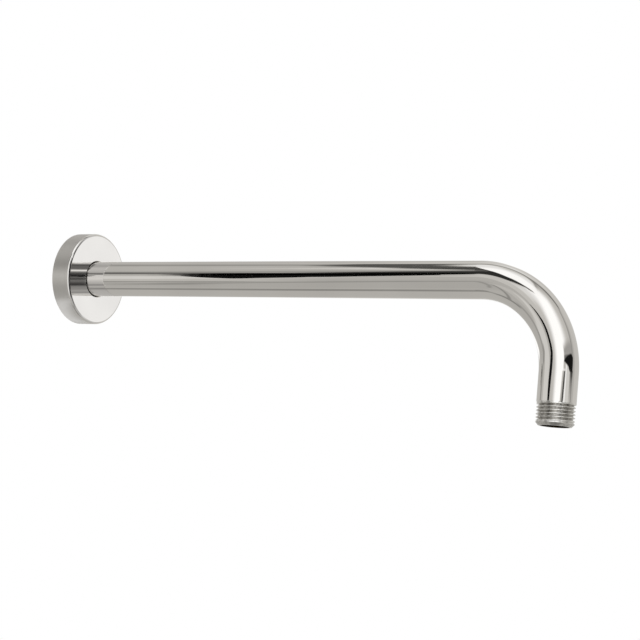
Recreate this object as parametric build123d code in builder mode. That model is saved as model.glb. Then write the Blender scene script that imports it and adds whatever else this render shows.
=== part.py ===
"""Shower arm: a half-inch brass pipe with one quarter bend, and the round cover flange that slides on it.

The finished wall is the plane X = 0. The pipe leaves it along +X, bends down and ends along -Z.
The origin is on the pipe's axis, in the plane of the wall. All sizes are in millimetres.
"""

import os

from build123d import *

# The pipe
PIPE_OD = 21.3
PIPE_WALL = 3.0
REACH = 330.0  # wall to the axis of the outlet
DROP = 78.5  # axis of the straight run to the end face of the outlet
BEND_RADIUS = 50.0  # to the pipe's axis

# The G 1/2 parallel pipe thread at both ends, modelled as a plain cylinder of the thread's outside diameter
THREAD_OD = 20.955
NOSE_CHAMFER = 1.1
NOSE_LENGTH = 1.3
MOUTH_CHAMFER = 0.5  # on the inner edge of each end
SHOULDER_LENGTH = 0.4  # the slope from the thread's outside up to the full pipe
INLET_DEPTH = 13.0  # how far the pipe goes into the wall
INLET_THREAD = 18.0
OUTLET_THREAD = 11.5

# The cover flange at the wall
FLANGE_OD = 56.0
FLANGE_DEPTH = 13.0
FLANGE_PLATE = 5.0  # thickness of its front
FLANGE_RIM = 2.2  # thickness of its rim
FLANGE_FRONT_ROUND = 1.5
FLANGE_BACK_ROUND = 0.4
FLANGE_INNER_ROUND = 1.2
FLANGE_CLEARANCE = 0.4  # all round the pipe
FLANGE_HOLE_CHAMFER = 0.35

# The O-ring in the flange's hole
ORING_SECTION = 2.0
ORING_CLEARANCE = 0.05  # to the pipe, and to the floor of the groove
ORING_SIDE_PLAY = 0.3  # to each wall of the groove

pipe_r = PIPE_OD / 2
bore_r = pipe_r - PIPE_WALL
thread_r = THREAD_OD / 2
flange_r = FLANGE_OD / 2
plate_back = FLANGE_DEPTH - FLANGE_PLATE
hole_r = pipe_r + FLANGE_CLEARANCE
oring_middle_r = pipe_r + ORING_CLEARANCE + ORING_SECTION / 2
groove_r = oring_middle_r + ORING_SECTION / 2 + ORING_CLEARANCE
groove_half = ORING_SECTION / 2 + ORING_SIDE_PLAY
groove_x = FLANGE_DEPTH - FLANGE_PLATE / 2

# Each end of the pipe has a plane whose Z axis points out of the pipe.
inlet_end = Plane((-INLET_DEPTH, 0, 0), x_dir=(0, 1, 0), z_dir=(-1, 0, 0))
outlet_end = Plane((REACH, 0, -DROP), x_dir=(0, 1, 0), z_dir=(0, 0, -1))

threaded_ends = [(inlet_end, INLET_THREAD), (outlet_end, OUTLET_THREAD)]

# The pipe is drawn brass tube, bent cold over a mandrel, and turned and threaded at both ends.
with BuildPart() as arm_tube:
    with BuildLine(Plane.XZ) as centre_line:
        Line((-INLET_DEPTH, 0), (REACH - BEND_RADIUS, 0))
        RadiusArc((REACH - BEND_RADIUS, 0), (REACH, -BEND_RADIUS), BEND_RADIUS)
        Line((REACH, -BEND_RADIUS), (REACH, -DROP))
    with BuildSketch(inlet_end):
        Circle(pipe_r)
        Circle(bore_r, mode=Mode.SUBTRACT)
    sweep(path=centre_line.line)
    # Both ends are turned down to the thread's outside, with a shoulder, a chamfered nose and a chamfered mouth.
    for end, thread_length in threaded_ends:
        with BuildSketch(Plane(end.origin, x_dir=end.x_dir, z_dir=end.y_dir)):
            with BuildLine():
                Polyline(
                    (pipe_r + 1, 0),
                    (thread_r - NOSE_CHAMFER, 0),
                    (thread_r, NOSE_LENGTH),
                    (thread_r, thread_length - SHOULDER_LENGTH),
                    (pipe_r, thread_length),
                    (pipe_r + 1, thread_length),
                    close=True,
                )
            make_face()
            with BuildLine():
                Polyline(
                    (0, 0),
                    (bore_r + MOUTH_CHAMFER, 0),
                    (bore_r, MOUTH_CHAMFER),
                    (0, MOUTH_CHAMFER),
                    close=True,
                )
            make_face()
        revolve(axis=Axis(end.origin, end.z_dir), mode=Mode.SUBTRACT)

# The flange is turned from brass: a plate with a rim behind it, and a groove for the O-ring in its hole.
with BuildPart() as wall_flange:
    with BuildSketch(Plane.XZ) as flange_section:
        with BuildLine():
            Polyline(
                (0, flange_r - FLANGE_RIM),
                (0, flange_r),
                (FLANGE_DEPTH, flange_r),
                (FLANGE_DEPTH, hole_r),
                (plate_back, hole_r),
                (plate_back, flange_r - FLANGE_RIM),
                close=True,
            )
        make_face()
        fillet(flange_section.vertices().sort_by_distance((FLANGE_DEPTH, flange_r))[0], FLANGE_FRONT_ROUND)
        fillet(flange_section.vertices().sort_by_distance((0, flange_r))[0], FLANGE_BACK_ROUND)
        fillet(flange_section.vertices().sort_by_distance((plate_back, flange_r - FLANGE_RIM))[0], FLANGE_INNER_ROUND)
        chamfer(flange_section.vertices().sort_by_distance((FLANGE_DEPTH, hole_r))[0], FLANGE_HOLE_CHAMFER)
        chamfer(flange_section.vertices().sort_by_distance((plate_back, hole_r))[0], FLANGE_HOLE_CHAMFER)
        with Locations((groove_x, groove_r / 2)):
            Rectangle(2 * groove_half, groove_r, mode=Mode.SUBTRACT)
    revolve(axis=Axis.X)

# The O-ring sits in the groove and grips the pipe.
with BuildPart() as flange_oring:
    with BuildSketch(Plane.XZ):
        with Locations((groove_x, oring_middle_r)):
            Circle(ORING_SECTION / 2)
    revolve(axis=Axis.X)

arm_tube.part.label = "arm_tube"
wall_flange.part.label = "wall_flange"
flange_oring.part.label = "flange_oring"

os.makedirs("parts", exist_ok=True)
export_step(arm_tube.part, "parts/arm_tube.step")
export_step(wall_flange.part, "parts/wall_flange.step")
export_step(flange_oring.part, "parts/flange_oring.step")
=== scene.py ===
import math

import bmesh
import bpy
from mathutils import Matrix, Vector


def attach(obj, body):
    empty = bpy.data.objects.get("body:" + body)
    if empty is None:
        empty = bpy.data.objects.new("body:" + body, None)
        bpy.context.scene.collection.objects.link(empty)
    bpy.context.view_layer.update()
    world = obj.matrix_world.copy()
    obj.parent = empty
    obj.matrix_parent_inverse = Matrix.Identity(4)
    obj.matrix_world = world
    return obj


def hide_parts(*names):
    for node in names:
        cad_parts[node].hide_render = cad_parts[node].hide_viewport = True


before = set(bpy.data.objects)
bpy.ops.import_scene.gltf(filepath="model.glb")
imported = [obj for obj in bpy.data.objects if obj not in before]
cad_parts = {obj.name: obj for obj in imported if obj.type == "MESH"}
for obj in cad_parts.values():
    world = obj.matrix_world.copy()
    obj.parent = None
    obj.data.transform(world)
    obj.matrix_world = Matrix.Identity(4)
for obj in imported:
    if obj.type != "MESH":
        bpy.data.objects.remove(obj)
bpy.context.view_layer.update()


# The arm: one length of drawn half-inch brass tube, bent cold through a quarter turn over a mandrel.
# Both ends are turned down and cut with a right-hand G 1/2 thread: one screws into the elbow in the wall,
# the other takes the shower head. Buffed and nickel plated outside, plain brass in the bore. Sizes in mm.

MM = 0.001
PIPE_R = 10.65
BORE_R = 7.65
INLET_DEPTH = 13.0
RUN = 280.0  # wall to the start of the bend
BEND_R = 50.0
LEG = 28.5  # end of the bend to the outlet's end face
BEND = BEND_R * math.pi / 2
ARM_SIDES = 144
BEND_STEPS = 96
BORE_BEND_STEPS = 48
RUN_RINGS = (60, 130, 200, 262)  # where the plain run has rings of points, from the wall
BORE_RINGS = (200, 100)
SHARP_EDGE = math.radians(38)  # an edge that turns more than this stays crisp

THREAD_R = 10.4775
PITCH = 1.814
CREST_ROUND = 0.249
FLANK = math.radians(27.5)
ROWS_PER_PITCH = 20
CLOSEST_ROWS = 0.004  # of two rows nearer than this, one is left out
NOSE_R = 9.0
NOSE_LENGTH = 1.6
NOSE_ROUND = 0.35
NOSE_BACK_ROUND = 0.6  # where the nose meets the thread
NOSE_PAINTED_SHADE_DEPTH = 0.7  # the nose is painted with the shade of a groove this far down
MOUTH = 0.3
SHOULDER = 0.4
SHOULDER_ROUND = 0.3
PLAIN_END = 2.0  # plain pipe past the shoulder
CUT_START, CUT_FULL = 1.4, 3.2  # from the end, the die's cut grows to its full depth between these
RUN_OUT = 1.0  # how far its last cut goes past the shoulder
RUN_OUT_RISE = 1.2  # the length over which that cut grows shallow
INLET_THREAD = 18.0
OUTLET_THREAD = 11.5
INLET_CREST, OUTLET_CREST = 0.3, 379.85  # where along the pipe a crest is at angle 0


def rounded(corners, steps):
    """A profile through these corners (along, radius, rounding), with an arc at each that has a rounding."""
    points = []
    for i, (along, radius, rounding) in enumerate(corners):
        here = Vector((along, radius))
        if rounding == 0:
            points.append(here)
            continue
        before = (Vector(corners[i - 1][:2]) - here).normalized()
        after = (Vector(corners[(i + 1) % len(corners)][:2]) - here).normalized()
        half = before.angle(after) / 2
        middle = here + (before + after).normalized() * rounding / math.sin(half)
        start = here + before * rounding / math.tan(half) - middle
        end = here + after * rounding / math.tan(half) - middle
        for k in range(steps + 1):
            points.append(middle + rounding * start.slerp(end, k / steps))
    return points


def groove_depth(off_crest):
    """How far a 55 degree thread lies below its crests, at this distance along the pipe from a crest."""
    off = abs((off_crest + PITCH / 2) % PITCH - PITCH / 2)
    arc = CREST_ROUND * math.cos(FLANK)
    drop = CREST_ROUND * (1 - math.sin(FLANK))
    straight = (PITCH / 2 - 2 * arc) / math.tan(FLANK)
    if off < arc:
        return CREST_ROUND - math.sqrt(CREST_ROUND ** 2 - off ** 2)
    if off < PITCH / 2 - arc:
        return drop + (off - arc) / math.tan(FLANK)
    return 2 * drop + straight - CREST_ROUND + math.sqrt(CREST_ROUND ** 2 - (PITCH / 2 - off) ** 2)


def eased(start, end, value):
    """0 up to start, 1 from end on, and a smooth step between."""
    t = min(max((value - start) / (end - start), 0.0), 1.0)
    return t * t * (3 - 2 * t)


def pipe_ring(along, radius):
    """One ring round the pipe's middle line; radius is a length or a function of the angle."""
    turned = min(max((along - RUN) / BEND_R, 0.0), math.pi / 2)
    middle = Vector((
        min(along, RUN) + BEND_R * math.sin(turned),
        0.0,
        BEND_R * (math.cos(turned) - 1) - max(along - RUN - BEND, 0.0),
    ))
    out = Vector((math.sin(turned), 0.0, math.cos(turned)))
    ring = []
    for j in range(ARM_SIDES):
        angle = 2 * math.pi * j / ARM_SIDES
        r = radius(angle) if callable(radius) else radius
        ring.append((middle + r * (math.cos(angle) * Vector((0, 1, 0)) + math.sin(angle) * out)) * MM)
    return ring


def threaded_end(end, inward, length, crest):
    """The rings of one end, from its mouth to the full pipe. Inward is the way from the end into the pipe,
    and crest is where along the pipe a thread's crest is at angle 0."""
    blank = rounded([
        (0, BORE_R + MOUTH, 0),
        (0, NOSE_R, NOSE_ROUND),
        (NOSE_LENGTH, THREAD_R, NOSE_BACK_ROUND),
        (length - SHOULDER, THREAD_R, 0),
        (length, PIPE_R, SHOULDER_ROUND),
        (length + PLAIN_END, PIPE_R, 0),
    ], steps=5)
    depths = [p.x for p in blank[1:-1]]
    row = PITCH / ROWS_PER_PITCH
    last_cut = length + RUN_OUT
    depths += [NOSE_LENGTH + k * row for k in range(int((last_cut - NOSE_LENGTH) / row) + 2)]
    depths = sorted(depths)
    depths = [d for d, after in zip(depths, depths[1:] + [math.inf]) if after - d > CLOSEST_ROWS]
    rings = [pipe_ring(end, blank[0].y)]
    for depth in depths:
        along = end + inward * depth
        k = max(i for i, p in enumerate(blank[:-1]) if p.x <= depth)
        share = (depth - blank[k].x) / max(blank[k + 1].x - blank[k].x, 1e-9)
        outside = blank[k].y + share * (blank[k + 1].y - blank[k].y)
        cut = eased(CUT_START, CUT_FULL, depth) * eased(last_cut, last_cut - RUN_OUT_RISE, depth)
        rings.append(pipe_ring(
            along,
            lambda angle: min(
                outside,
                THREAD_R - cut * groove_depth(along - crest - PITCH * angle / (2 * math.pi))
                + max(outside - THREAD_R, 0),
            ),
        ))
    return rings


def skin(name, rings, finishes):
    """A closed mesh over rings of points, each joined to the next and the last to the first.
    Finishes gives the material's number for the strip that follows each ring."""
    bm = bmesh.new()
    rows = [[bm.verts.new(point) for point in ring] for ring in rings]
    sides = len(rows[0])
    for i, row in enumerate(rows):
        after = rows[(i + 1) % len(rows)]
        for j in range(sides):
            face = bm.faces.new((row[j], row[(j + 1) % sides], after[(j + 1) % sides], after[j]))
            face.smooth = True
            face.material_index = finishes[i]
    bmesh.ops.recalc_face_normals(bm, faces=bm.faces)
    mesh = bpy.data.meshes.new(name)
    bm.to_mesh(mesh)
    bm.free()
    mesh.set_sharp_from_angle(angle=SHARP_EDGE)
    piece = bpy.data.objects.new(name, mesh)
    bpy.context.scene.collection.objects.link(piece)
    even = piece.modifiers.new("even_shading", "WEIGHTED_NORMAL")
    even.keep_sharp = True
    return piece


outlet_end = RUN + BEND + LEG
NICKEL, THREAD, BORE = 0, 1, 2
rings, finishes = [], []


def lay(new_rings, finish):
    """Adds rings to the arm, in this finish."""
    rings.extend(new_rings)
    finishes.extend([finish] * len(new_rings))


lay(threaded_end(-INLET_DEPTH, 1, INLET_THREAD, INLET_CREST), THREAD)
lay([pipe_ring(x, PIPE_R) for x in (INLET_THREAD - INLET_DEPTH + PLAIN_END, *RUN_RINGS)], NICKEL)
lay([pipe_ring(RUN + BEND * k / BEND_STEPS, PIPE_R) for k in range(BEND_STEPS + 1)], NICKEL)
lay([pipe_ring(outlet_end - OUTLET_THREAD - PLAIN_END, PIPE_R)], NICKEL)
lay(threaded_end(outlet_end, -1, OUTLET_THREAD, OUTLET_CREST)[::-1], THREAD)
finishes[-1] = BORE  # the chamfer of the mouth
lay([pipe_ring(outlet_end - MOUTH, BORE_R)], BORE)
lay([pipe_ring(RUN + BEND * (1 - k / BORE_BEND_STEPS), BORE_R) for k in range(BORE_BEND_STEPS + 1)], BORE)
lay([pipe_ring(x, BORE_R) for x in (*BORE_RINGS, MOUTH - INLET_DEPTH)], BORE)
arm = skin("arm", rings, finishes)

# How far each point lies below the thread's crests, in mm, which sets the painted shade that darkens the roots;
# the nose is given a set depth so that it is painted darker too.
painted_shade_depth = arm.data.attributes.new("painted_shade_depth", "FLOAT", "POINT")
for vertex, below in zip(arm.data.vertices, painted_shade_depth.data):
    x, y, z = vertex.co / MM
    if x < RUN:
        from_axis, from_end = math.hypot(y, z), x + INLET_DEPTH
    else:
        from_axis, from_end = math.hypot(x - RUN - BEND_R, y), z + BEND_R + LEG
    below.value = THREAD_R - from_axis if from_end > NOSE_LENGTH else NOSE_PAINTED_SHADE_DEPTH


def linear(code):
    """An sRGB hex colour as linear red, green, blue and alpha."""
    parts = [int(code[i:i + 2], 16) / 255 for i in (1, 3, 5)]
    return [c / 12.92 if c <= 0.04045 else ((c + 0.055) / 1.055) ** 2.4 for c in parts] + [1.0]


def add_node(tree, kind, settings=(), links=()):
    """Adds a node. Settings are its properties and unlinked inputs, links its inputs with what feeds them."""
    node = tree.nodes.new(kind)
    for name, value in dict(settings).items():
        if isinstance(name, int) or name in node.inputs:
            node.inputs[name].default_value = value
        else:
            setattr(node, name, value)
    for name, output in dict(links).items():
        tree.links.new(output, node.inputs[name])
    return node


def new_material(name):
    """A new material and its empty node tree."""
    material = bpy.data.materials.new(name)
    material.use_nodes = True
    material.node_tree.nodes.clear()
    return material, material.node_tree


# Polished nickel: a warm, slightly yellow mirror. Buffing leaves it almost sharp, with a faint haze that
# comes and goes over a few millimetres and a ripple of the drawn tube that only the reflections show.
nickel, tree = new_material("polished_nickel_plate")
place = add_node(tree, "ShaderNodeTexCoord").outputs["Object"]
tone = add_node(tree, "ShaderNodeTexNoise", {"Scale": 1 / (40 * MM), "Detail": 2.0}, {"Vector": place})
tint = add_node(tree, "ShaderNodeValToRGB", links={"Fac": tone.outputs["Fac"]})
tint.color_ramp.elements[0].position = 0.3
tint.color_ramp.elements[0].color = linear("#E4E2DF")
tint.color_ramp.elements[1].position = 0.7
tint.color_ramp.elements[1].color = linear("#EAE8E5")
haze = add_node(tree, "ShaderNodeTexNoise", {"Scale": 1 / (7 * MM), "Detail": 4.0}, {"Vector": place})
gloss = add_node(
    tree, "ShaderNodeMapRange",
    {"From Min": 0.3, "From Max": 0.7, "To Min": 0.03, "To Max": 0.06}, {"Value": haze.outputs["Fac"]},
)
ripple = add_node(tree, "ShaderNodeTexNoise", {"Scale": 1 / (22 * MM), "Detail": 1.0}, {"Vector": place})
surface = add_node(
    tree, "ShaderNodeBump", {"Strength": 1.0, "Distance": 0.004 * MM}, {"Height": ripple.outputs["Fac"]},
)
shader = add_node(
    tree, "ShaderNodeBsdfPrincipled", {"Metallic": 1.0},
    {
        "Base Color": tint.outputs["Color"],
        "Roughness": gloss.outputs["Result"],
        "Normal": surface.outputs["Normal"],
    },
)
add_node(tree, "ShaderNodeOutputMaterial", links={"Surface": shader.outputs["BSDF"]})

# Plated thread: the same nickel over the die's cut, which no buff reaches. The roots are painted darker than
# the crests, a painted shade for the grooves where the flanks only show each other.
plated_thread, tree = new_material("nickel_plated_cut_thread")
place = add_node(tree, "ShaderNodeTexCoord").outputs["Object"]
# Painted shade: the colour goes from pale at the crests to dark at the roots and on the nose.
depth = add_node(tree, "ShaderNodeAttribute", {"attribute_name": "painted_shade_depth"})
tint = add_node(tree, "ShaderNodeValToRGB", links={"Fac": depth.outputs["Fac"]})
tint.color_ramp.elements[0].position = 0.1
tint.color_ramp.elements[0].color = linear("#F0EFEC")
tint.color_ramp.elements[1].position = 0.9
tint.color_ramp.elements[1].color = linear("#C2C0BC")
grain = add_node(tree, "ShaderNodeTexNoise", {"Scale": 1 / (1.2 * MM), "Detail": 3.0}, {"Vector": place})
gloss = add_node(
    tree, "ShaderNodeMapRange",
    {"From Min": 0.3, "From Max": 0.7, "To Min": 0.10, "To Max": 0.16}, {"Value": grain.outputs["Fac"]},
)
surface = add_node(
    tree, "ShaderNodeBump", {"Strength": 0.5, "Distance": 0.01 * MM}, {"Height": grain.outputs["Fac"]},
)
patchy = add_node(tree, "ShaderNodeTexNoise", {"Scale": 1 / (1.5 * MM), "Detail": 2.0}, {"Vector": place})
dulled = add_node(
    tree, "ShaderNodeMapRange",
    {"From Min": 0.48, "From Max": 0.66, "To Min": 0.0, "To Max": 0.4}, {"Value": patchy.outputs["Fac"]},
)
# Random dull patches, mixed over the painted shade of the roots.
painted_shade_and_patches = add_node(
    tree, "ShaderNodeMix", {"data_type": "RGBA", 7: linear("#6E6C68")},
    {0: dulled.outputs["Result"], 6: tint.outputs["Color"]},
)
shader = add_node(
    tree, "ShaderNodeBsdfPrincipled", {"Metallic": 1.0},
    {
        "Base Color": painted_shade_and_patches.outputs[2],
        "Roughness": gloss.outputs["Result"],
        "Normal": surface.outputs["Normal"],
    },
)
add_node(tree, "ShaderNodeOutputMaterial", links={"Surface": shader.outputs["BSDF"]})

# Drawn brass bore: bare brass, its colour darkened almost to black as painted shade inside the pipe,
# with a patchy stain that also roughens it.
brass_bore, tree = new_material("drawn_brass_bore")
place = add_node(tree, "ShaderNodeTexCoord").outputs["Object"]
stain = add_node(tree, "ShaderNodeTexNoise", {"Scale": 1 / (5 * MM), "Detail": 4.0}, {"Vector": place})
# Both colours are near black: painted shade of the bore, varied by the stain.
tint = add_node(tree, "ShaderNodeValToRGB", links={"Fac": stain.outputs["Fac"]})
tint.color_ramp.elements[0].position = 0.3
tint.color_ramp.elements[0].color = linear("#241E14")
tint.color_ramp.elements[1].position = 0.7
tint.color_ramp.elements[1].color = linear("#372D1D")
gloss = add_node(
    tree, "ShaderNodeMapRange",
    {"From Min": 0.3, "From Max": 0.7, "To Min": 0.25, "To Max": 0.4}, {"Value": stain.outputs["Fac"]},
)
surface = add_node(
    tree, "ShaderNodeBump", {"Strength": 0.4, "Distance": 0.02 * MM}, {"Height": stain.outputs["Fac"]},
)
shader = add_node(
    tree, "ShaderNodeBsdfPrincipled", {"Metallic": 1.0},
    {
        "Base Color": tint.outputs["Color"],
        "Roughness": gloss.outputs["Result"],
        "Normal": surface.outputs["Normal"],
    },
)
add_node(tree, "ShaderNodeOutputMaterial", links={"Surface": shader.outputs["BSDF"]})

for finish in (nickel, plated_thread, brass_bore):
    arm.data.materials.append(finish)
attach(arm, "arm")
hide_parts("arm_tube")


# The O-ring: moulded black nitrile rubber, 2 mm thick, sitting in a groove in the flange's hole.
# It grips the pipe, so the flange stays where it is pushed, and it closes the gap that shows round the pipe.

ORING_X = 10.5
ORING_MIDDLE_R = 11.70
ORING_SECTION_R = 1.0
ORING_SIDES = 40  # round its section
ROUND_SIDES = 192


def turned_ring(along, radius):
    """One ring round the straight run's axis."""
    angles = [2 * math.pi * j / ROUND_SIDES for j in range(ROUND_SIDES)]
    return [Vector((along, radius * math.cos(a), radius * math.sin(a))) * MM for a in angles]


section = [2 * math.pi * k / ORING_SIDES for k in range(ORING_SIDES)]
oring = skin("oring", [
    turned_ring(ORING_X + ORING_SECTION_R * math.cos(a), ORING_MIDDLE_R + ORING_SECTION_R * math.sin(a))
    for a in section
], [0] * len(section))

# Black nitrile rubber: matt, with the dull grain of its mould and a trace of dust. The grain is drawn coarser
# than the real one, so that it shows.
rubber, tree = new_material("black_nitrile_rubber")
place = add_node(tree, "ShaderNodeTexCoord").outputs["Object"]
grain = add_node(tree, "ShaderNodeTexNoise", {"Scale": 1 / (0.6 * MM), "Detail": 4.0}, {"Vector": place})
tint = add_node(tree, "ShaderNodeValToRGB", links={"Fac": grain.outputs["Fac"]})
tint.color_ramp.elements[0].position = 0.35
tint.color_ramp.elements[0].color = linear("#0C0C0C")
tint.color_ramp.elements[1].position = 0.75
tint.color_ramp.elements[1].color = linear("#1B1B1A")
gloss = add_node(
    tree, "ShaderNodeMapRange",
    {"From Min": 0.3, "From Max": 0.7, "To Min": 0.5, "To Max": 0.7}, {"Value": grain.outputs["Fac"]},
)
surface = add_node(
    tree, "ShaderNodeBump", {"Strength": 0.5, "Distance": 0.03 * MM}, {"Height": grain.outputs["Fac"]},
)
shader = add_node(
    tree, "ShaderNodeBsdfPrincipled", {"IOR": 1.5},
    {
        "Base Color": tint.outputs["Color"],
        "Roughness": gloss.outputs["Result"],
        "Normal": surface.outputs["Normal"],
    },
)
add_node(tree, "ShaderNodeOutputMaterial", links={"Surface": shader.outputs["BSDF"]})
oring.data.materials.append(rubber)
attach(oring, "seal_ring")
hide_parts("flange_oring")


# The wall flange: a round cover turned from brass, hollow behind, with a groove for the O-ring in its hole.
# Its face is buffed like the pipe and its rim only brushed, and all of it is nickel plated. It slides along
# the pipe, and is pushed home against the wall.

FLANGE_R = 28.0
FLANGE_DEPTH = 13.0
PLATE_BACK = 8.0
RIM_INNER_R = 25.8
HOLE_R = 11.05
HOLE_CHAMFER = 0.35
GROOVE_R = 12.75
GROOVE_HALF = 1.3
FRONT_ROUND = 1.5
BACK_ROUND = 0.4
BACK_INNER_ROUND = 0.2
INNER_ROUND = 1.2
HOLE_ROUND = 0.1
TINY = 0.001  # how near to FLANGE_R a point of the rim is

flange_profile = rounded([
    (FLANGE_DEPTH, HOLE_R + HOLE_CHAMFER, HOLE_ROUND),
    (FLANGE_DEPTH, FLANGE_R, FRONT_ROUND),
    (0, FLANGE_R, BACK_ROUND),
    (0, RIM_INNER_R, BACK_INNER_ROUND),
    (PLATE_BACK, RIM_INNER_R, INNER_ROUND),
    (PLATE_BACK, HOLE_R + HOLE_CHAMFER, HOLE_ROUND),
    (PLATE_BACK + HOLE_CHAMFER, HOLE_R, HOLE_ROUND),
    (ORING_X - GROOVE_HALF, HOLE_R, 0),
    (ORING_X - GROOVE_HALF, GROOVE_R, 0),
    (ORING_X + GROOVE_HALF, GROOVE_R, 0),
    (ORING_X + GROOVE_HALF, HOLE_R, 0),
    (FLANGE_DEPTH - HOLE_CHAMFER, HOLE_R, HOLE_ROUND),
], steps=16)
RIM = 1  # the finish of the rim; the rest is polished
flange = skin("flange", [turned_ring(p.x, p.y) for p in flange_profile], [
    RIM if min(here.y, after.y) > FLANGE_R - TINY else NICKEL
    for here, after in zip(flange_profile, flange_profile[1:] + flange_profile[:1])
])

# Satin nickel: the rim was only brushed round after turning, so it spreads what it shows into one soft shade.
# The lines of the brush are drawn 0.3 mm apart, coarser than the real ones, so that they show.
satin_nickel, tree = new_material("satin_nickel_plate")
place = add_node(tree, "ShaderNodeTexCoord").outputs["Object"]
lines = add_node(
    tree, "ShaderNodeMapping", {"Scale": (1 / (0.3 * MM), 1 / (9 * MM), 1 / (9 * MM))}, {"Vector": place},
)
brushed = add_node(
    tree, "ShaderNodeTexNoise", {"Scale": 1.0, "Detail": 2.0}, {"Vector": lines.outputs["Vector"]},
)
tint = add_node(tree, "ShaderNodeValToRGB", links={"Fac": brushed.outputs["Fac"]})
tint.color_ramp.elements[0].position = 0.3
tint.color_ramp.elements[0].color = linear("#D4D2CF")
tint.color_ramp.elements[1].position = 0.7
tint.color_ramp.elements[1].color = linear("#D9D7D4")
gloss = add_node(
    tree, "ShaderNodeMapRange",
    {"From Min": 0.3, "From Max": 0.7, "To Min": 0.31, "To Max": 0.33}, {"Value": brushed.outputs["Fac"]},
)
surface = add_node(
    tree, "ShaderNodeBump", {"Strength": 0.2, "Distance": 0.0004 * MM}, {"Height": brushed.outputs["Fac"]},
)
shader = add_node(
    tree, "ShaderNodeBsdfPrincipled", {"Metallic": 1.0},
    {
        "Base Color": tint.outputs["Color"],
        "Roughness": gloss.outputs["Result"],
        "Normal": surface.outputs["Normal"],
    },
)
add_node(tree, "ShaderNodeOutputMaterial", links={"Surface": shader.outputs["BSDF"]})

for finish in (nickel, satin_nickel):
    flange.data.materials.append(finish)
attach(flange, "flange")
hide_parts("wall_flange")


# The cards: five pieces of card held near the arm, out of the camera's sight, so that only mirrors show them.
# A white one and a striped ring stand before the flange's face, and a pale grey one lies under its rim.
# Two black ones stand in front of the arm and draw the dark streak along its run and the line down its leg.

FACE_CARD_X = 62.0
RIM_CARD_Z = -42.0
BLACK_CARDS_Y = -60.0
RING_X = 60.0
RING_SIDES = 96
RING_INNER_R = 13.0
RING_BLACK_R = 44.0  # the ring is plain black up to this
RING_DARK_R = 69.0  # it has dark stripes up to this, and pale ones outside it
RING_FADE_START_R, RING_FADE_END_R = 86.0, 103.0  # its pale stripes grow dimmer between these
RING_FADE = 0.75  # the share of their brightness that is left
RING_OUTER_R = 125.0

# The pale stripes, as (degrees round the pipe from the front upward, brightness).
PALE_STRIPES = [
    (-150, 0.66), (-90, 0.62), (-80, 0.57), (-73, 0.28), (-66, 0.53), (-53, 0.64), (-47, 0.3), (-40, 0.57),
    (-20, 0.77), (-8, 0.96), (8, 0.9), (15, 0.9), (21, 0.2), (27, 0.24), (32, 0.57), (40, 0.66), (60, 0.73),
    (70, 0.66), (83, 0.52), (98, 0.6), (127, 0.7),
]
# The dark stripes, in the same way.
DARK_STRIPES = [
    (-130, 1.0), (-104, 0.36), (-88, 0.5), (-73, 0.36), (-58, 0.33), (-44, 0.05), (-34, 0.1), (-19, 0.23),
    (-8, 0.07), (1, 0.18), (11, 0.01), (30, 0.13), (38, 0.4), (46, 1.3), (53, 0.4), (59, 0.17), (80, 0.17),
    (88, 0.1), (98, 0.18), (120, 0.95),
]
# How far round the ring each of its three parts goes, as (degrees, how much of it is there).
BLACK_SPAN = [(-105, 0), (-75, 1), (80, 1), (112, 0)]
DARK_SPAN = [(-131, 0), (-130, 1), (120, 1), (121, 0)]
PALE_SPAN = [(-151, 0), (-150, 1), (126, 1), (127, 0)]


def flat_sheet(corners):
    """A flat sheet with these corners, in mm."""
    bm = bmesh.new()
    bm.faces.new([bm.verts.new(Vector(corner) * MM) for corner in corners])
    return bm


def glossy_card(name, bm, material):
    """A card that only mirrors show."""
    mesh = bpy.data.meshes.new(name)
    bm.to_mesh(mesh)
    bm.free()
    card = bpy.data.objects.new(name, mesh)
    bpy.context.scene.collection.objects.link(card)
    card.visible_camera = False
    card.visible_diffuse = False
    card.visible_shadow = False
    card.visible_transmission = False
    card.data.materials.append(material)


def one_sided(tree, colour, cover=None):
    """Ends a card's material: its front glows, where cover is 1 or not given, and its back is clear."""
    back = add_node(tree, "ShaderNodeNewGeometry").outputs["Backfacing"]
    glow = add_node(tree, "ShaderNodeEmission", {"Strength": 1.0}, {"Color": colour}).outputs["Emission"]
    clear = add_node(tree, "ShaderNodeBsdfTransparent").outputs["BSDF"]
    if cover is not None:
        glow = add_node(tree, "ShaderNodeMixShader", links={0: cover, 1: clear, 2: glow}).outputs["Shader"]
    both = add_node(tree, "ShaderNodeMixShader", links={0: back, 1: glow, 2: clear})
    add_node(tree, "ShaderNodeOutputMaterial", links={"Surface": both.outputs["Shader"]})


def plain_card(name, low, high):
    """A plain card's material, its brightness drifting between these two."""
    material, tree = new_material(name)
    place = add_node(tree, "ShaderNodeTexCoord").outputs["Object"]
    drift = add_node(tree, "ShaderNodeTexNoise", {"Scale": 1 / (25 * MM)}, {"Vector": place})
    tone = add_node(
        tree, "ShaderNodeMapRange",
        {"From Min": 0.3, "From Max": 0.7, "To Min": low, "To Max": high}, {"Value": drift.outputs["Fac"]},
    )
    one_sided(tree, tone.outputs["Result"])
    return material


# White card: matt and even.
corners = [(24, -30), (24, 46), (95, 46), (95, -30)]
white_card = plain_card("white_card", 1.0, 1.05)
glossy_card("face_card", flat_sheet([(FACE_CARD_X, y, z) for y, z in corners]), white_card)

# Pale grey card: the same, a shade darker.
corners = [(-25, -36), (-8, -36), (-8, 30), (-25, 30)]
pale_grey_card = plain_card("pale_grey_card", 0.88, 0.92)
glossy_card("rim_card", flat_sheet([(x, y, RIM_CARD_Z) for x, y in corners]), pale_grey_card)

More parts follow.
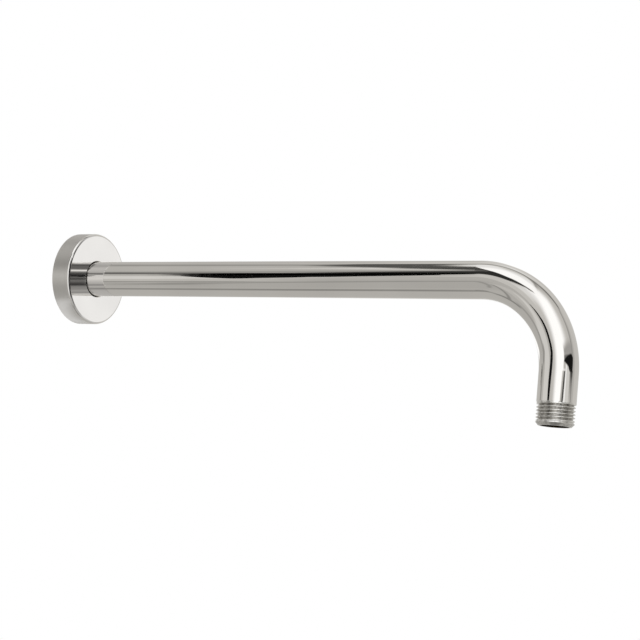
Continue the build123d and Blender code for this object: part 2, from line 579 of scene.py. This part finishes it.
# Black card: it swallows nearly all the light.
black_card = plain_card("black_card", 0.004, 0.008)
corners = [
    (47, 13.5), (61, 14), (232, 22), (232, 17.2), (200, 12.3), (180, 9.6), (160, 6), (145, 4.9), (131, 1.7),
    (109, -1.2), (95, -4.2), (87, -4.5), (72, -1), (64, 2), (57, 5), (50, 9), (47, 11.5),
]
glossy_card("streak_card", flat_sheet([(x, BLACK_CARDS_Y, z) for x, z in corners]), black_card)

corners = [
    (287, -10), (290, -9), (298, -9.5), (308, -12.7), (314, -17), (316, -21), (320, -27), (322.5, -32),
    (318.5, -41), (316, -49), (314, -56), (312, -64), (302, -64), (299, -56), (298.3, -50), (300.5, -43),
    (304, -38.7), (309, -34), (308, -29), (303, -21), (299, -16.5), (293, -13),
]
glossy_card("leg_card", flat_sheet([(x, BLACK_CARDS_Y, z) for x, z in corners]), black_card)

# Striped black card: black round its hole, then dark stripes and pale ones, all running outward.
striped_card, tree = new_material("striped_black_card")
place = add_node(tree, "ShaderNodeTexCoord").outputs["Object"]
apart = add_node(tree, "ShaderNodeSeparateXYZ", links={"Vector": place})
front = add_node(tree, "ShaderNodeMath", {"operation": "MULTIPLY", 1: -1.0}, {0: apart.outputs["Y"]})
angle = add_node(
    tree, "ShaderNodeMath", {"operation": "ARCTAN2"}, {0: apart.outputs["Z"], 1: front.outputs["Value"]},
)
share_of_turn = add_node(
    tree, "ShaderNodeMapRange", {"From Min": -math.pi, "From Max": math.pi}, {"Value": angle.outputs["Value"]},
).outputs["Result"]
flat = add_node(tree, "ShaderNodeVectorMath", {"operation": "MULTIPLY", 1: (0, 1, 1)}, {0: place})
radius = add_node(
    tree, "ShaderNodeVectorMath", {"operation": "LENGTH"}, {0: flat.outputs["Vector"]},
).outputs["Value"]


def stripes(stops):
    """Grey stripes round the striped card, as (degrees, brightness), blending from each to the next."""
    ramp = add_node(tree, "ShaderNodeValToRGB", links={"Fac": share_of_turn})
    points = ramp.color_ramp.elements
    while len(points) < len(stops):
        points.new(0.5)
    for point, (degrees, value) in zip(points, stops):
        point.position = degrees / 360 + 0.5
        point.color = (value, value, value, 1)
    return ramp.outputs["Color"]


past_black, past_dark = [
    add_node(tree, "ShaderNodeMath", {"operation": "GREATER_THAN", 1: edge * MM}, {0: radius}).outputs["Value"]
    for edge in (RING_BLACK_R, RING_DARK_R)
]
dark = add_node(
    tree, "ShaderNodeMix", {"data_type": "RGBA", 6: (0.01, 0.01, 0.01, 1)},
    {0: past_black, 7: stripes(DARK_STRIPES)},
)
dimmer = add_node(
    tree, "ShaderNodeMapRange",
    {"From Min": RING_FADE_START_R * MM, "From Max": RING_FADE_END_R * MM, "To Min": 1.0, "To Max": RING_FADE},
    {"Value": radius},
)
pale = add_node(
    tree, "ShaderNodeVectorMath", {"operation": "SCALE"},
    {0: stripes(PALE_STRIPES), "Scale": dimmer.outputs["Result"]},
)
colour = add_node(
    tree, "ShaderNodeMix", {"data_type": "RGBA"},
    {0: past_dark, 6: dark.outputs[2], 7: pale.outputs["Vector"]},
)
inner_cover = add_node(
    tree, "ShaderNodeMix", {"data_type": "RGBA"},
    {0: past_black, 6: stripes(BLACK_SPAN), 7: stripes(DARK_SPAN)},
)
cover = add_node(
    tree, "ShaderNodeMix", {"data_type": "RGBA"},
    {0: past_dark, 6: inner_cover.outputs[2], 7: stripes(PALE_SPAN)},
)
one_sided(tree, colour.outputs[2], cover.outputs[2])

bm = bmesh.new()
angles = [2 * math.pi * k / RING_SIDES for k in range(RING_SIDES)]
inner_edge, outer_edge = [
    [bm.verts.new(Vector((RING_X, r * math.cos(a), r * math.sin(a))) * MM) for a in angles]
    for r in (RING_INNER_R, RING_OUTER_R)
]
for k in range(RING_SIDES):
    after = (k + 1) % RING_SIDES
    bm.faces.new((inner_edge[k], inner_edge[after], outer_edge[after], outer_edge[k]))
glossy_card("striped_card", bm, striped_card)


# The floor: a plain pale studio floor, well below the arm. It fades into the white round it and is clear from
# below. Its shade is left out of the metal, which shows the studio's walls and softboxes instead. In metres.

FLOOR_X = 0.16
FLOOR_Z = -0.4
FLOOR_R = 2.0
FLOOR_SIDES = 96
FLOOR_FADE_START, FLOOR_FADE_END = 0.5, 1.6

bm = bmesh.new()
bmesh.ops.create_circle(bm, cap_ends=True, segments=FLOOR_SIDES, radius=FLOOR_R)
bmesh.ops.translate(bm, verts=bm.verts, vec=(FLOOR_X, 0, FLOOR_Z))
mesh = bpy.data.meshes.new("floor")
bm.to_mesh(mesh)
bm.free()
floor = bpy.data.objects.new("floor", mesh)
bpy.context.scene.collection.objects.link(floor)
floor.visible_glossy = False

# Pale floor paint: matt and almost white, so it takes only a soft shade under the arm.
floor_paint, tree = new_material("pale_floor_paint")
place = add_node(tree, "ShaderNodeTexCoord").outputs["Object"]
distance = add_node(tree, "ShaderNodeVectorMath", {"operation": "LENGTH"}, {0: place})
fade = add_node(
    tree, "ShaderNodeMapRange",
    {"interpolation_type": "SMOOTHSTEP", "From Min": FLOOR_FADE_START, "From Max": FLOOR_FADE_END},
    {"Value": distance.outputs["Value"]},
)
under = add_node(tree, "ShaderNodeNewGeometry").outputs["Backfacing"]
gone = add_node(tree, "ShaderNodeMath", {"operation": "MAXIMUM"}, {0: fade.outputs["Result"], 1: under})
paint = add_node(tree, "ShaderNodeBsdfDiffuse", {"Color": linear("#F4F4F2")})
clear = add_node(tree, "ShaderNodeBsdfTransparent")
ground = add_node(
    tree, "ShaderNodeMixShader",
    links={0: gone.outputs["Value"], 1: paint.outputs["BSDF"], 2: clear.outputs["BSDF"]},
)
add_node(tree, "ShaderNodeOutputMaterial", links={"Surface": ground.outputs["Shader"]})
floor.data.materials.append(floor_paint)


# The studio: what the mirror finish shows. Softboxes above and to the right, grey walls, a white backdrop,
# and black flags that draw the dark streaks. Each is a patch of the surroundings, placed by compass and height.

studio = bpy.data.worlds.new("studio")
bpy.context.scene.world = studio
studio.use_nodes = True
tree = studio.node_tree
tree.nodes.clear()
toward = add_node(tree, "ShaderNodeTexCoord").outputs["Generated"]
WALLS = 0.51
WALL_TINT = (1.02, 1.0, 0.955, 1)
SOFTBOX_TINT = (1.0, 1.0, 1.0, 1)
DIM, BRIGHT = 0.55, 1.05  # the wall's tint goes over to the softbox's between these
light = None


def compass(azimuth, height):
    """The direction to a point of the studio: azimuth 0 is in front of the arm, 90 beyond its outlet."""
    a, h = math.radians(azimuth), math.radians(height)
    return Vector((math.sin(a) * math.cos(h), -math.cos(a) * math.cos(h), math.sin(h)))


def hang(name, level, softness, corners):
    """Hangs one flat patch of this brightness over what is there, its edges softened over this many degrees."""
    global light
    points = [compass(*corner) for corner in corners]
    middle = sum(points, Vector()).normalized()
    inside = None
    for here, after in zip(points, points[1:] + points[:1]):
        edge = here.cross(after).normalized()
        if edge.dot(middle) < 0:
            edge = -edge
        reach = add_node(tree, "ShaderNodeVectorMath", {"operation": "DOT_PRODUCT", 1: edge}, {0: toward})
        reach = reach.outputs["Value"]
        if inside is not None:
            nearest = add_node(tree, "ShaderNodeMath", {"operation": "MINIMUM"}, {0: inside, 1: reach})
            reach = nearest.outputs["Value"]
        inside = reach
    soft = math.sin(math.radians(softness) / 2)
    cover = add_node(
        tree, "ShaderNodeMapRange",
        {"interpolation_type": "SMOOTHSTEP", "From Min": -soft, "From Max": soft}, {"Value": inside},
    )
    below = {} if light is None else {2: light}
    mix = add_node(
        tree, "ShaderNodeMix", {"label": name, "data_type": "FLOAT", 2: WALLS, 3: level},
        {0: cover.outputs["Result"], **below},
    )
    light = mix.outputs[0]


# The floor, the walls behind and the white backdrop.
hang("floor near", 0.47, 10, [(-15, -8), (-45, -8), (-60, -48), (-20, -58)])
hang("back wall", 0.62, 8, [(124, -20), (170, -36), (215, -20), (215, 60), (168, 66), (146, 58), (130, 40)])
hang("back wall high", 0.74, 14, [(160, 46), (195, 50), (228, 46), (228, 60), (195, 66), (160, 62)])
hang("back wall top", 0.92, 5, [(167, 65), (200, 61.3), (224, 56), (235, 59), (228, 67), (205, 71),
    (185, 70.5), (168, 68)])
hang("backdrop glow", 0.88, 6, [(192, 8), (214, 8), (211, 30), (204, 43), (197, 43), (192, 25)])
hang("backdrop core", 1.15, 5, [(198, 12), (209, 12), (207, 24), (203, 37), (200, 37), (197, 24)])
hang("backdrop low", 1.22, 4, [(214, 4), (232, 4), (246, 1.5), (252, -1), (244, -4), (230, -5.5), (214, -4)])
hang("backdrop low edge", 1.08, 4, [(209, -11), (218, -12), (219, 6), (213, 7)])

hang("floor below", 0.28, 6, [(0, -70), (60, -70), (120, -70), (180, -70), (-120, -70), (-60, -70)])

# The left wall, with the floor's seams below it.
hang("left wall far", 0.52, 4, [(-150, 7), (-86, 3), (-86, 60.5), (-125, 57)])
hang("left wall near", 0.52, 4, [(-88, 3), (-38, 7), (-38, 44), (-52, 54), (-88, 60.5)])
hang("left wall foot far", 0.57, 4, [(-150, 3), (-86, 3), (-86, 12), (-150, 12)])
hang("left wall foot", 0.57, 4, [(-88, 3), (-38, 7), (-38, 12), (-88, 12)])
hang("left wall high", 0.7, 12, [(-150, 44), (-118, 54), (-112, 62), (-135, 66), (-160, 60)])
hang("left wall shade", 0.36, 6, [(-110, 48), (-86, 49.5), (-84, 58), (-105, 58)])
hang("left wall edge", 0.38, 6, [(-49, 24), (-37.5, 24), (-35.5, 38), (-41, 42)])
hang("left low", 0.74, 5, [(-66, -8), (-36, -8), (-31.5, 5.8), (-36, 8.5), (-64, 9)])
hang("floor glow", 0.58, 4, [(-56, -7), (-33.5, -6), (-34.6, -17), (-50, -16)])
hang("floor band high", 0.38, 4, [(-74, 0), (-64, 0), (-65, -24), (-75, -24)])
hang("floor band mid", 0.28, 3, [(-81, -24), (-72, -22), (-73, -34), (-76, -45), (-84, -45), (-84, -36)])
hang("floor band low", 0.36, 5, [(-84, -43), (-74, -43), (-68, -50), (-79, -50)])
hang("floor band foot", 0.29, 5, [(-79, -48), (-68, -48), (-58, -57), (-66, -63), (-76, -64), (-81, -57)])
hang("floor line far", 0.3, 1.8, [(-77, -30.5), (-36, -16.3), (-36, -18.8), (-77, -33.5)])
hang("floor line near left", 0.34, 1.8, [(-48, -33.5), (-40, -24.4), (-38.7, -26.5), (-46, -35.5)])
hang("floor line near mid", 0.34, 2.2, [(-40, -24.2), (-30.3, -14.5), (-29.3, -18), (-38.7, -26.5)])
hang("floor line near right", 0.34, 2.2, [(-30.5, -14.5), (-22, -14), (-22, -17), (-29.5, -18)])
hang("left notch", 0.3, 2.5, [(-79, 4.5), (-70, 3.3), (-70, -0.5), (-78, 2)])
hang("left notch right", 0.34, 3, [(-70, 3.5), (-59, 1.2), (-60, -1.5), (-70, -0.5)])
hang("left notch high", 0.34, 3, [(-88, 10), (-76, 10), (-77, 4), (-88, 4)])

# The wall in front, and the big softbox on the right with the stand and the edges round it.
hang("front wall", 0.64, 3, [(-29, 8), (-12, 5), (60, 0), (60, 52), (14, 53), (-28.5, 24)])
hang("front glow", 0.85, 8, [(-19, 25.5), (-12, 22), (2, 34), (4, 45), (-3, 43.5), (-13, 34.5)])
hang("right ramp", 0.61, 16, [(40, -20), (107, -20), (126, 58), (60, 76), (30, 70)])
hang("right spill", 0.86, 26, [(30, -20), (81, -20), (81, 66), (30, 70)])
hang("right softbox", 1.28, 24, [(8, -40), (65, -40), (65, 62), (40, 68), (4, 54)])
hang("right shade", 0.4, 8, [(54, 15), (115, 16), (118, 27), (54, 23)])
hang("right low", 0.74, 3, [(63, -20), (107, -20), (107, 6), (63, 12)])
hang("right low far", 0.56, 10, [(92, -20), (108, -20), (108, 6), (92, 6.2)])
hang("right glint", 1.1, 3, [(63.5, -20), (70.5, -20), (69.5, 11), (64, 11.5)])
hang("right gap", 0.47, 2, [(36, -20), (54, -20), (54.5, 6.5), (47, 6.5), (41.5, 5)])
hang("right step", 0.6, 2, [(50, 7.5), (63, 7.5), (63, 12.5), (50, 12.8)])
hang("right seam low", 0.35, 5, [(104, -20), (111, -20), (114, 16), (105, 16)])
hang("right seam mid", 0.35, 5, [(106, 12), (113, 12), (120, 34), (110, 34)])
hang("right seam high", 0.36, 5, [(110, 33), (120, 33), (125, 50), (115, 51)])
hang("right seam top", 0.19, 5, [(127, 49), (138, 48.5), (146, 60), (149, 66), (147, 75), (136, 73), (128, 62)])
hang("right strip shade", 0.2, 1.6, [(54, 13), (80, 16), (80, 19.4), (54, 17)])
hang("right strip left", 0.01, 1.2, [(52.5, 12.9), (84, 9.3), (84, 19.3), (53, 13.8)])
hang("right strip", 0.01, 1.6, [(80, 9.4), (86, 7), (95, 5.8), (106, 5.6), (113, 16.5), (104, 19.8),
    (82, 19.2)])
hang("right strip foot", 0.01, 0.3, [(93, 6.1), (101, 6.03), (109.5, 5.9), (110.5, 7.2), (88, 7.2)])
hang("right foot", 0.02, 1.5, [(47, -20), (57, -20), (60, 5), (51.3, 5)])
hang("right foot top", 0.02, 1.5, [(51.3, 4.8), (60, 4.8), (63.5, 6.6), (54.3, 6.6)])

# The seams of the ceiling, and the softbox overhead.
hang("top seam back left", 0.28, 4, [(-129, 73.5), (-155, 74.5), (180, 74), (180, 79.5), (-155, 80.5),
    (-128, 79)])
hang("top seam left", 0.34, 5, [(-97, 62.5), (-110, 62), (-131, 73.5), (-128, 79), (-108, 74)])
hang("top seam back right", 0.23, 4, [(180, 73.5), (160, 71), (148, 67.5), (138, 71), (134, 75.5), (150, 78),
    (180, 79.5)])
hang("top seam right", 0.32, 3, [(135, 75), (108, 75), (108, 78), (135, 78.5)])
hang("top seam right low", 0.42, 3, [(110, 75.5), (85, 75.5), (65, 73.5), (65, 76), (85, 78.5), (110, 78.5)])
hang("top seam front", 0.66, 3, [(66, 72.5), (50, 69.6), (40, 66.5), (40, 69), (50, 73), (66, 75.5)])
hang("overhead softbox", 0.95, 3, [(-94, 61), (-62, 58), (-46, 53), (-34, 48), (-19, 44), (0, 50.5), (13, 54),
    (33, 64.5), (47, 71), (100, 79.5), (160, 81.5), (-150, 81.5), (-114, 76)])
hang("overhead far", 0.64, 10, [(-98, 73), (-150, 79), (160, 80), (140, 86), (-75, 80)])
hang("overhead middle", 1.22, 12, [(-54, 52), (-34, 44), (-19, 39), (0, 45), (13, 48), (33, 60), (48, 71),
    (10, 79), (-40, 74)])

# The black flags, and a stand, that draw the dark streaks.
hang("band far", 0.11, 1.5, [(-111, 57.2), (-91.5, 58), (-90, 62.2), (-103, 61.8), (-110, 61)])
hang("band left", 0.1, 1.5, [(-93, 58), (-76, 57.5), (-61, 55.2), (-61, 58.8), (-85, 62.2), (-93, 62.3)])
hang("band mid", 0.09, 1.5, [(-63, 55.8), (-50, 50.5), (-45, 54.6), (-63, 59.5)])
hang("band right", 0.07, 1.5, [(-51.5, 51.3), (-37, 42.2), (-33, 49.8), (-47, 55.2)])
hang("wedge left", 0.03, 2, [(-37, 43.5), (-37.5, 27.5), (-28.5, 24.2), (-22, 28.2), (-17, 33), (-17, 45),
    (-35, 50.5)])
hang("wedge right", 0.03, 2, [(-21, 29), (-14, 36), (-4, 44.3), (6, 51), (-4, 49.6), (-21, 45.5)])
hang("wedge edge", 0.13, 2, [(-38.3, 43.5), (-36.8, 32), (-30, 43), (-33, 48)])
hang("wedge tip", 0.15, 2, [(-2, 46), (2, 46.5), (7, 49), (13, 51.5), (11, 53), (0, 51)])
hang("post", 0.0, 1.2, [(-39.4, 25.5), (-39.4, 21), (-35.5, 6.5), (-32.6, 6.5), (-31.4, 10), (-28.6, 25),
    (-32, 28)])
hang("post side", 0.16, 2, [(-45, 28), (-38.4, 27.5), (-39.4, 18.7), (-43, 18.7)])

# The walls are a warm grey, and the softboxes white.
lit = add_node(
    tree, "ShaderNodeMapRange",
    {"interpolation_type": "SMOOTHSTEP", "From Min": DIM, "From Max": BRIGHT}, {"Value": light},
)
hue = add_node(
    tree, "ShaderNodeMix",
    {"data_type": "RGBA", 6: WALL_TINT, 7: SOFTBOX_TINT}, {0: lit.outputs["Result"]},
)
coloured = add_node(
    tree, "ShaderNodeVectorMath", {"operation": "SCALE"}, {0: hue.outputs[2], "Scale": light},
)

# The camera itself sees plain white behind the arm.
room = add_node(tree, "ShaderNodeBackground", {"Strength": 1.0}, {"Color": coloured.outputs["Vector"]})
white = add_node(tree, "ShaderNodeBackground", {"Color": (1, 1, 1, 1), "Strength": 1.0})
seen = add_node(tree, "ShaderNodeLightPath")
mix = add_node(
    tree, "ShaderNodeMixShader",
    links={0: seen.outputs["Is Camera Ray"], 1: room.outputs["Background"], 2: white.outputs["Background"]},
)
add_node(tree, "ShaderNodeOutputWorld", links={"Surface": mix.outputs["Shader"]})


# The camera: a long lens a little over a metre away, in front of the outlet and slightly below the arm,
# turned a few degrees on its own axis, as in the photograph.

SENSOR = 36.0
LENS = 106.34
CAMERA_PLACE = Vector((749.3, -913.75, -156.4)) * MM
CAMERA_COMPASS = (32.0, -7.03)
CAMERA_TILT = math.radians(5.24)

camera = bpy.data.objects.new("camera", bpy.data.cameras.new("camera"))
camera.data.sensor_width = SENSOR
camera.data.lens = LENS
back = compass(*CAMERA_COMPASS)
level = Vector((0, 0, 1)).cross(back).normalized()
rise = back.cross(level)
right = level * math.cos(CAMERA_TILT) + rise * math.sin(CAMERA_TILT)
aim = Matrix((right, back.cross(right), back)).transposed().to_4x4()
camera.matrix_world = Matrix.Translation(CAMERA_PLACE) @ aim
bpy.context.scene.collection.objects.link(camera)
bpy.context.scene.camera = camera
bpy.context.scene.view_settings.view_transform = "Standard"
